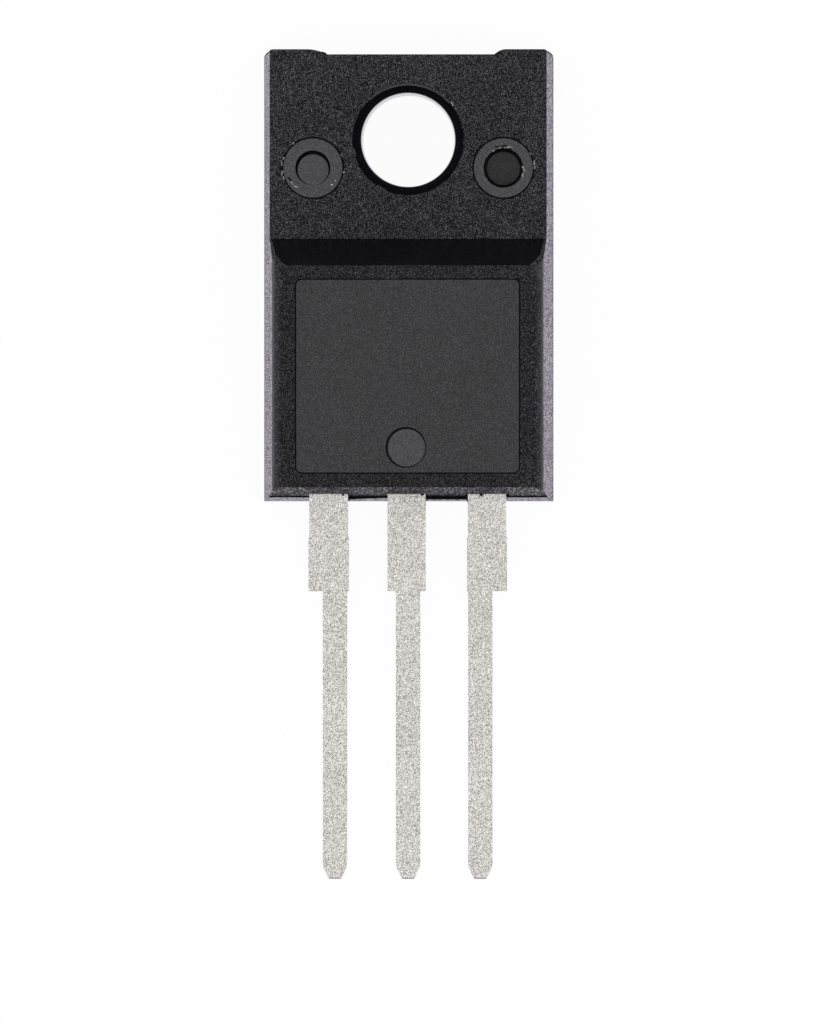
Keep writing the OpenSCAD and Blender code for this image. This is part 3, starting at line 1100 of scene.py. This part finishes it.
    def open_pocket(self) -> Piece:
        """Makes the tool for the right pin's deep pocket. A skin of resin is left over the copper."""
        rings = self.right_pocket
        pocket = turned_plug(self.finish.torn_and_shade, (self.pin_x, self.pin_y), rings, sides=72)
        roughen(pocket, self.right_pocket_stray, 5, lambda s: s.at.z > rings[0][0] + NEAR)
        coat(pocket, self.finish.panel, lambda s: s.way.z < -ALONG)
        return pocket

    def scrap(self, at: Point, size: Point, turn: float = 0, finish: Material | None = None) -> Piece:
        """Makes a scrap of epoxy that the mould or a tool left standing.

        Args:
            at: the middle of its foot.
            size: its length, width and height.
            turn: the direction of its length, in degrees from +X.
            finish: its finish, torn if none is given.

        Returns:
            The scrap.
        """
        half_l, half_w = size[0] / 2, size[1] / 2
        scrap = hewn_block(finish or self.finish.torn_and_shade, (-half_l, -half_w, 0), (half_l, half_w, size[2]))
        with editing(scrap, lambda s: abs(s.way.x) > ALONG, Part.EDGE):
            bpy.ops.mesh.subdivide(number_cuts=max(1, round(size[0] / (3 * min(size)))))
        with editing(scrap):
            bpy.ops.mesh.subdivide(number_cuts=1)
        seed = round(100 * abs(at[0] + at[1]))
        roughen(scrap, self.crumble * min(size), seed, lambda s: True)
        with editing(scrap):
            bpy.ops.mesh.quads_convert_to_tris()
            bpy.ops.transform.rotate(
                value=-math.radians(turn), orient_axis="Z", center_override=(0, 0, 0)
            )
            bpy.ops.transform.translate(value=at)
        return scrap

    def chips(self, rim: ChippedRim) -> list[Piece]:
        """Makes the chips along the rim of a round mark.

        Args:
            rim: the rim and the stretches of it that are chipped.

        Returns:
            The chips.
        """
        dice = random.Random(rim.seed)
        x, y, z = rim.middle
        found = []
        for start, end in rim.arcs:
            angle = start
            while angle < end:
                size = tuple(dice.uniform(*span) for span in rim.sizes)
                turn = math.radians(angle)
                reach = rim.r + dice.uniform(*rim.outward)
                at = (x + reach * math.cos(turn), y + reach * math.sin(turn), z - rim.sunk)
                # Pale chips show bare filler and also paint the glints that the rims catch; the rest are
                # black torn resin.
                finish = self.finish.chipped_and_glint if dice.random() < rim.pale else self.finish.torn_and_shade
                found.append(self.scrap(at, size, angle + 90 + dice.uniform(*rim.askew), finish))
                angle += math.degrees((size[0] + dice.uniform(*rim.gap)) / rim.r)
        return found

    def scraps(self) -> list[Piece]:
        """Makes the mould's flash at the leads and the chips round the marks of the pins."""
        web, foot, top = self.parting_z - 0.1, 2.42, 2.88  # between, beside and on the leads
        tab, land = self.tab_t, self.tab_t - 0.08
        flash = (  # the middle of each scrap's foot, then its length, width and height, then its turn
            ((-1.42, -12.66, web), (1.36, 0.07, 0.11), 2),
            ((1.36, -12.68, web), (1.42, 0.09, 0.11), 0),
            ((-2.11, -12.64, foot), (0.06, 0.26, 0.44), 4),
            ((-2.3, -12.55, top), (0.05, 0.1, 0.06), 20),
            ((0.5, -12.55, top), (0.1, 0.07, 0.05), 15),
            ((0.63, -12.66, foot), (0.06, 0.24, 0.44), -5),
            ((2.1, -12.64, foot), (0.09, 0.3, 0.42), 12),
            ((2.125, -12.78, foot), (0.045, 0.24, 0.4), 8),
            ((2.59, -12.55, top), (0.1, 0.1, 0.05), 45),
            ((3.5, -12.61, foot), (0.16, 0.07, 0.4), -12),
            ((-2.98, 3.06, land), (0.2, 0.06, 0.09), -20),
            ((3.16, 3.05, land), (0.17, 0.07, 0.09), 25),
        )
        sunk = tab - self.ring_depth
        x, y, ring_r, pocket_r = self.pin_x, self.pin_y, self.ring_r, self.right_pocket_r
        rims = (
            ChippedRim((-x, y, tab), ring_r, ((162, 200), (-8, 42), (118, 132)), 1),
            ChippedRim((x, y, tab), ring_r, ((-14, 30), (136, 156), (62, 70)), 2),
            ChippedRim((x, y, sunk), pocket_r, ((70, 130), (-20, 10)), 3),
            ChippedRim((x, y, sunk), pocket_r + 0.07, ((72, 118),), 6),
            ChippedRim((-x, y, sunk), 0.88, ((205, 232), (318, 336)), 5),
            ChippedRim((0, 0, tab), 2.0, ((33, 40),), 4),
        )
        found = [self.scrap(*row) for row in flash]
        for rim in rims:
            found += self.chips(rim)
        return found

    def panel(self) -> Piece:
        """Makes the tool for the smooth marking panel."""
        foot = self.thick - self.panel_depth - self.groove_depth
        low, high = (-self.panel_x, self.panel_y[0], foot), (self.panel_x, self.panel_y[1], AFAR)
        tool = hewn_block(self.finish.panel, low, high)
        ease(tool, self.panel_corner, segments=8, wanted=lambda s: abs(s.way.z) > ALONG)
        return self.grooved(tool, self.groove_w, self.groove_depth)

    def ejector_mark(self) -> Piece:
        """Makes the tool for the round mark of the ejector pin."""
        foot = self.thick - self.panel_depth - self.ejector_depth - self.groove_depth
        rings = [(foot, self.ejector_r), (AFAR, self.ejector_r)]
        disc = turned_plug(self.finish.pin_face, (self.ejector_x, self.ejector_y), rings)
        return self.grooved(disc, self.ejector_groove, self.groove_depth, self.ejector_shift)

    def build(self, cores: Sequence[Piece]) -> Piece:
        """Models the whole body.

        Args:
            cores: what the epoxy is moulded round, as tools in millimetres.

        Returns:
            The body.
        """
        body = self.block()
        self.round_edges(body)
        self.coat_walls(body)
        hole = turned_plug(self.finish.throat, (0, 0), self.bore, sides=160)
        coat(hole, self.finish.flare, lambda s: self.throat_top < s.at.z)
        foot, top = self.mouth_z
        roughen(hole, self.mouth_stray, 7, lambda s: foot < s.at.z < top)
        tools = [
            hole,
            self.pin_ring(-self.pin_x),
            self.pin_ring(self.pin_x),
            self.closed_pocket(),
            self.open_pocket(),
            self.panel(),
            self.ejector_mark(),
        ]
        for tool in tools:
            fit(body, tool, Fit.CUT)
        for scrap in self.scraps():
            fit(body, scrap, Fit.JOIN)
        for tool in cores:
            fit(body, tool, Fit.CUT)
        return body


# ------------------------------------------------------------------ studio


class Lamp(NamedTuple):
    """A square soft lamp. Its place and side are in metres, its power in watts."""

    name: str
    place: Point
    side: float
    power: float


@dataclass
class Studio:
    """Camera, floor and soft lamps. Sizes in mm, except for the lamps."""

    lens: float = 497.0
    sensor: float = 36.0
    eye: Point = (5.0, -12.75, 502.6)
    aim: Point = (0.05, -13.17, 2.6)
    floor_gap: float = 0.02  # between the rear face and the floor
    paper_glow: float = 0.95  # the share of light of its own in the floor, where it is seen
    surround: float = 0.4  # strength of the light from all round
    lamp_aim: Point = (0, -0.012, 0)
    lamps: tuple[Lamp, ...] = (
        Lamp("overhead", (0.0, -0.05, 0.9), 0.6, 1.7),
        Lamp("left", (-0.5, -0.05, 0.35), 0.36, 1.1),
        Lamp("right", (0.5, -0.05, 0.35), 0.36, 1.1),
        Lamp("front", (0.0, -0.6, 0.3), 0.5, 1.0),
    )

    def camera(self) -> None:
        """Puts the camera over the part, looking down at its front face."""
        data = bpy.data.cameras.new("camera")
        data.lens = self.lens
        data.sensor_width = self.sensor
        data.clip_start, data.clip_end = 0.01, 10.0
        camera = bpy.data.objects.new("camera", data)
        bpy.context.scene.collection.objects.link(camera)
        camera.location = Vector(self.eye) * MM
        back = (Vector(self.eye) - Vector(self.aim)).normalized()
        right = Vector((0, 1, 0)).cross(back).normalized()
        turn = Matrix((right, back.cross(right), back)).transposed()
        camera.rotation_euler = turn.to_euler()
        bpy.context.scene.camera = camera

    def floor(self) -> None:
        """Lays the pale floor under the part. From below it is clear, so that the rear face shows."""
        bpy.ops.mesh.primitive_plane_add(size=2.0, location=(0, 0, -self.floor_gap * MM))
        floor = bpy.context.object
        floor.name = "floor"
        material = bpy.data.materials.new("white_paper")
        tree = empty_tree(material)
        path = add_node(tree, "ShaderNodeLightPath").outputs
        seen = path["Is Camera Ray"]
        for ray in ("Is Glossy Ray", "Is Transmission Ray"):
            either = add_node(tree, "ShaderNodeMath", links={0: seen, 1: path[ray]}, operation="MAXIMUM")
            seen = either.outputs["Value"]
        under_part = add_node(
            tree, "ShaderNodeMath", {1: 5 * self.floor_gap * MM}, {0: path["Ray Length"]},
            operation="LESS_THAN",
        )
        behind = add_node(tree, "ShaderNodeNewGeometry").outputs["Backfacing"]
        unseen = add_node(
            tree, "ShaderNodeMath", links={0: behind, 1: under_part.outputs["Value"]}, operation="MAXIMUM"
        )
        paper = add_node(tree, "ShaderNodeBsdfDiffuse", {"Color": paint("#fafafa")}).outputs[0]
        light = {"Color": paint("#ffffff"), "Strength": 1.0}
        glow = add_node(tree, "ShaderNodeEmission", light).outputs[0]
        clear = add_node(tree, "ShaderNodeBsdfTransparent").outputs[0]
        lit = add_node(tree, "ShaderNodeMixShader", {0: self.paper_glow}, {1: paper, 2: glow}).outputs[0]
        sheet = add_node(tree, "ShaderNodeMixShader", links={0: seen, 1: paper, 2: lit}).outputs[0]
        whole = add_node(
            tree, "ShaderNodeMixShader", links={0: unseen.outputs["Value"], 1: sheet, 2: clear}
        )
        add_node(tree, "ShaderNodeOutputMaterial", links={"Surface": whole.outputs[0]})
        floor.data.materials.append(material)

    def hang(self, lamp: Lamp) -> None:
        """Hangs a lamp so that it faces the part."""
        data = bpy.data.lights.new(lamp.name, "AREA")
        data.shape = "SQUARE"
        data.size = lamp.side
        data.energy = lamp.power
        light = bpy.data.objects.new(lamp.name, data)
        bpy.context.scene.collection.objects.link(light)
        light.location = lamp.place
        way = Vector(self.lamp_aim) - Vector(lamp.place)
        light.rotation_euler = way.to_track_quat("-Z", "Y").to_euler()
        light.visible_camera = False

    def sky(self) -> None:
        """Surrounds the part with pale light, and shows pure white behind it."""
        world = bpy.data.worlds.new("surround")
        bpy.context.scene.world = world
        tree = empty_tree(world)
        links = {0: add_node(tree, "ShaderNodeLightPath").outputs["Is Camera Ray"]}
        for i, strength in enumerate((self.surround, 1.0)):
            light = {"Color": paint("#ffffff"), "Strength": strength}
            links[i + 1] = add_node(tree, "ShaderNodeBackground", light).outputs["Background"]
        both = add_node(tree, "ShaderNodeMixShader", links=links)
        add_node(tree, "ShaderNodeOutputWorld", links={"Surface": both.outputs["Shader"]})

    def build(self) -> None:
        """Sets up the whole studio."""
        self.camera()
        self.floor()
        for lamp in self.lamps:
            self.hang(lamp)
        self.sky()
        bpy.context.scene.view_settings.view_transform = "Standard"


def main() -> None:
    """Builds and dresses each piece, and then the studio."""
    logging.basicConfig(level=logging.INFO, format="%(name)s: %(message)s")
    walls = BodyFinishes(**{wall: epoxy.material() for wall, epoxy in EPOXY_WALLS.items()})
    metals = FrameFinishes(**{part: metal.material() for part, metal in FRAME_METALS.items()})
    solder, silicon, wire = SOLDER.material(), SILICON.material(), WIRE.material()
    source = SideLead(metals, middle_x=2.555, shank_x=(2.115, 3.47), head_y=-12.05).build()
    drain = DrainFrame(metals, middle_x=0.0, shank_x=(-0.725, 0.625)).build()
    gate = SideLead(metals, middle_x=-2.585, shank_x=(-3.49, -2.12), head_y=-12.05).build()
    leads = [
        set_down(gate, "tinned_gate_lead", Slot.TIN, "gate_lead"),
        set_down(drain, "tinned_drain_frame", Slot.TIN, "drain_leadframe"),
        set_down(source, "tinned_source_lead", Slot.TIN, "source_lead"),
    ]
    inside = {
        "die_solder": solder,
        "silicon_die": silicon,
        "gate_bond_wire": wire,
        "source_bond_wire_a": wire,
        "source_bond_wire_b": wire,
    }
    cores = [core(lead, walls.eroded) for lead in leads]
    for i, (name, finish) in enumerate(inside.items()):
        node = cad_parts[name]
        cores.append(core(node, walls.eroded, CORE_SINK * (i + 1)))
        node.data.materials.clear()
        node.data.materials.append(finish)
    body = EpoxyBody(walls).build(cores)
    set_down(body, "moulded_body", Slot.EPOXY, "package_body")
    Studio().build()


if __name__ == "__main__":
    main()
